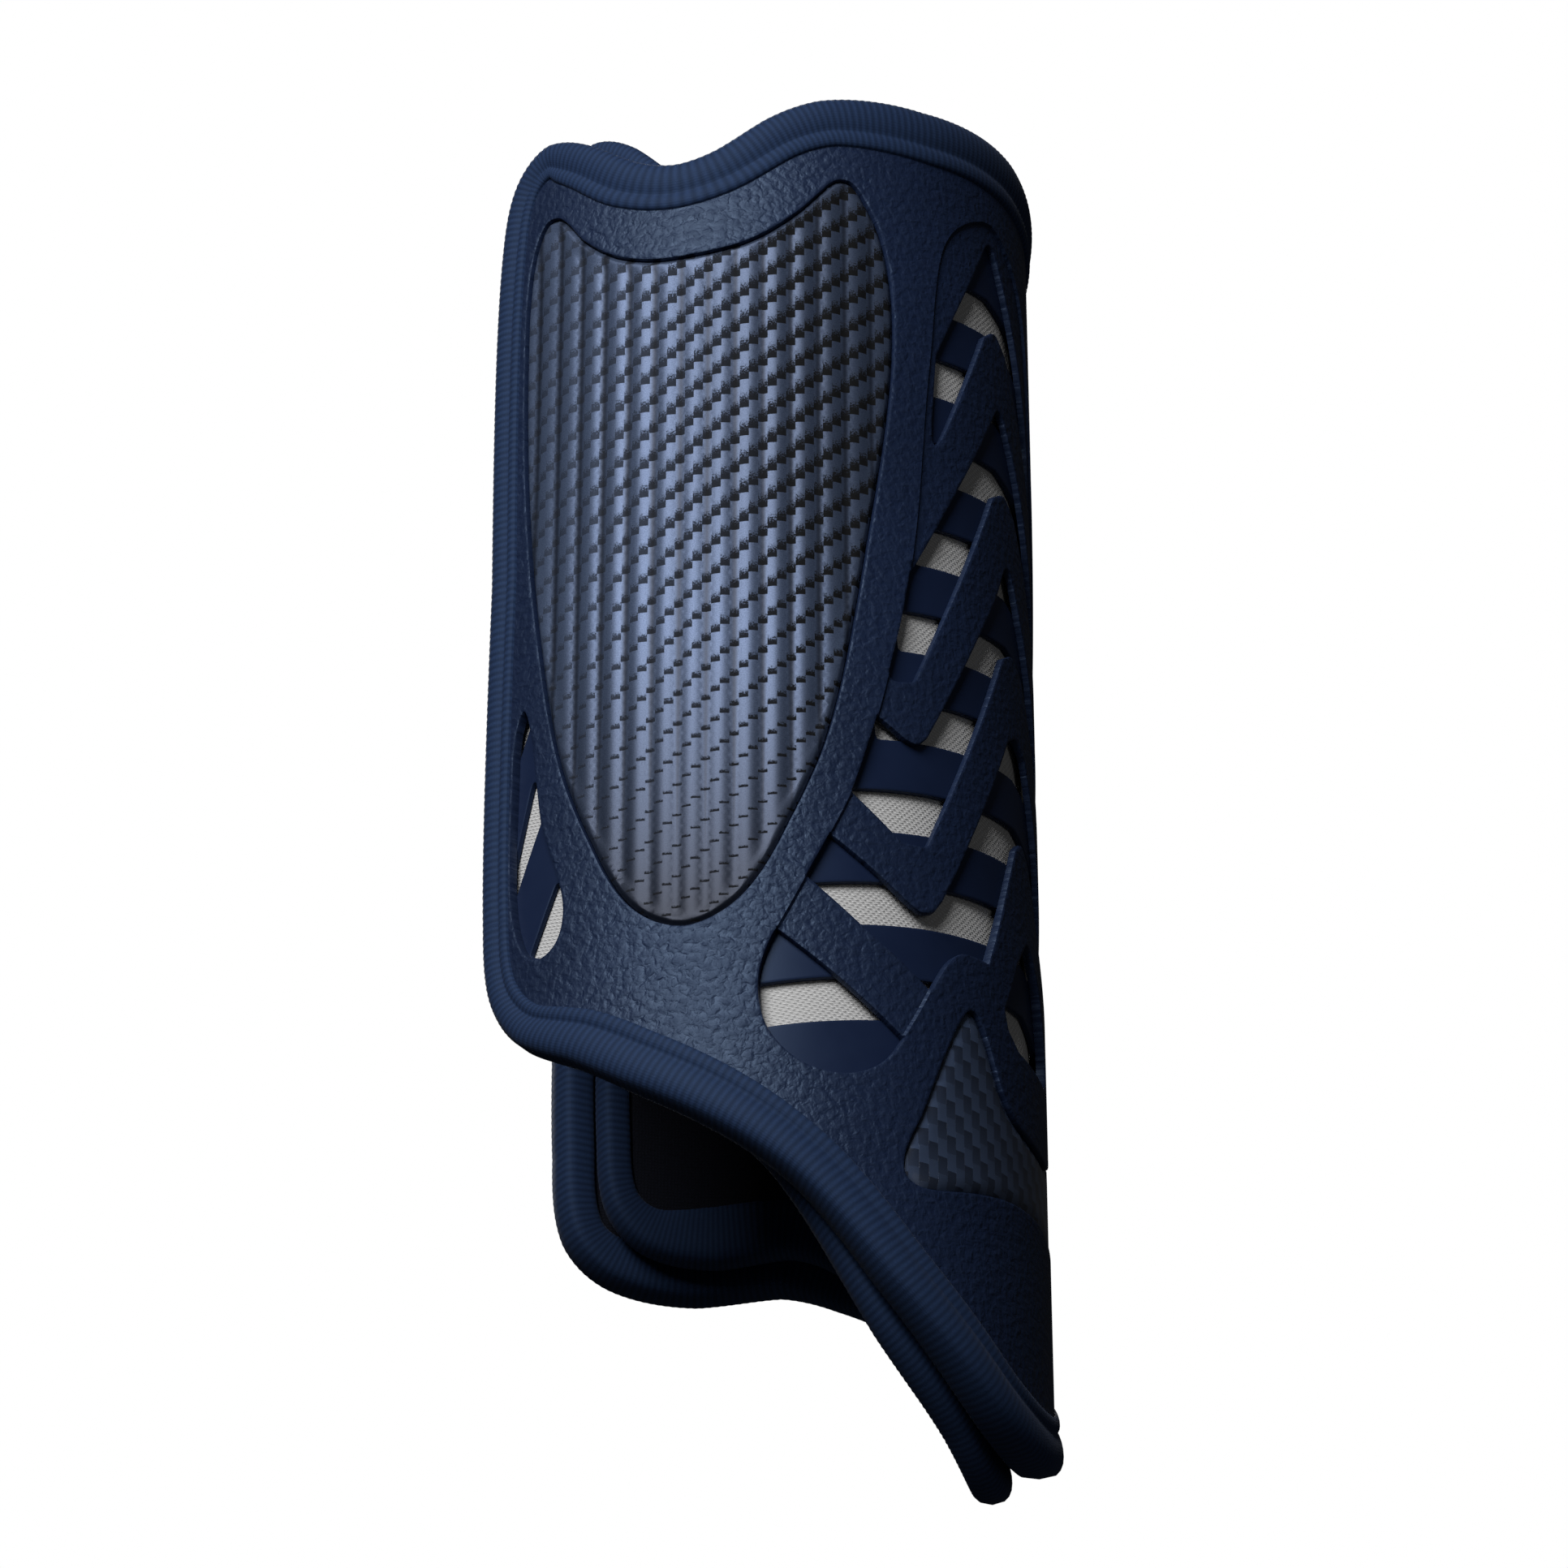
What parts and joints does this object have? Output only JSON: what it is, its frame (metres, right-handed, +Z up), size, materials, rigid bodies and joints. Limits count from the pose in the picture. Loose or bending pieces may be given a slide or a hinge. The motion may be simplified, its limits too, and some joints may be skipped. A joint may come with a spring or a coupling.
{
  "type": "shin guard",
  "caption": "Wrap-around shin guard: a moulded vented shell with inset side plates over a bound padded liner, closed at the back by swinging straps.",
  "frame": {"origin": "on the leg's axis inside the guard, level with the lower end of the front vent's middle", "axes": "+Z up the leg towards the knee, -Y the front of the shin, +X the wearer's left"},
  "size_m": [0.1194, 0.1262, 0.3169],
  "materials": {
    "navy_shell": "moulded plastic with a fine leather grain",
    "navy_slat": "smooth satin moulded plastic",
    "silver_mesh": "fine knitted spacer mesh",
    "blue_twill": "clear glossy lacquer over a blue-grey twill weave",
    "dark_twill": "clear glossy lacquer over a dark twill weave",
    "navy_tape": "ribbed elastic tape",
    "dark_foam": "closed-cell foam",
    "black_fabric": "brushed knit",
    "hook_loop": "hook-and-loop fastening"
  },
  "bodies": {
    "guard": {"outer_shell": "navy_shell", "shield_plate_right": "blue_twill", "shield_plate_left": "blue_twill", "instep_plate": "dark_twill", "front_slat_panel": "navy_slat", "front_mesh": "silver_mesh", "rear_slat_panel_right": "navy_slat", "rear_slat_panel_left": "navy_slat", "rear_mesh_right": "silver_mesh", "rear_mesh_left": "silver_mesh", "shell_foam": "dark_foam", "shell_lining": "black_fabric", "shell_binding": "navy_tape", "liner_backing": "black_fabric", "liner_foam": "dark_foam", "liner_facing": "black_fabric", "liner_binding": "navy_tape", "liner_hook_pad_upper_right": "hook_loop", "liner_hook_pad_upper_left": "hook_loop", "liner_hook_pad_lower_right": "hook_loop", "liner_hook_pad_lower_left": "hook_loop", "liner_loop_pad_upper_right": "hook_loop", "liner_loop_pad_upper_left": "hook_loop", "liner_loop_pad_lower_right": "hook_loop", "liner_loop_pad_lower_left": "hook_loop", "strap_upper_anchor": "navy_tape", "strap_upper_landing_pad": "hook_loop", "strap_lower_anchor": "navy_tape", "strap_lower_landing_pad": "hook_loop"},
    "upper_strap": {"strap_upper": "navy_tape", "strap_upper_hook_tab": "hook_loop"},
    "lower_strap": {"strap_lower": "navy_tape", "strap_lower_hook_tab": "hook_loop"}
  },
  "joints": [
    {"name": "upper_strap_swing", "type": "hinge", "parent": "guard", "child": "upper_strap", "pos_m": [-0.0411, 0.03922, 0.085], "axis": [0, 0, 1], "range_deg": [0, 110]},
    {"name": "lower_strap_swing", "type": "hinge", "parent": "guard", "child": "lower_strap", "pos_m": [-0.0411, 0.03922, -0.005], "axis": [0, 0, 1], "range_deg": [0, 110]}
  ]
}
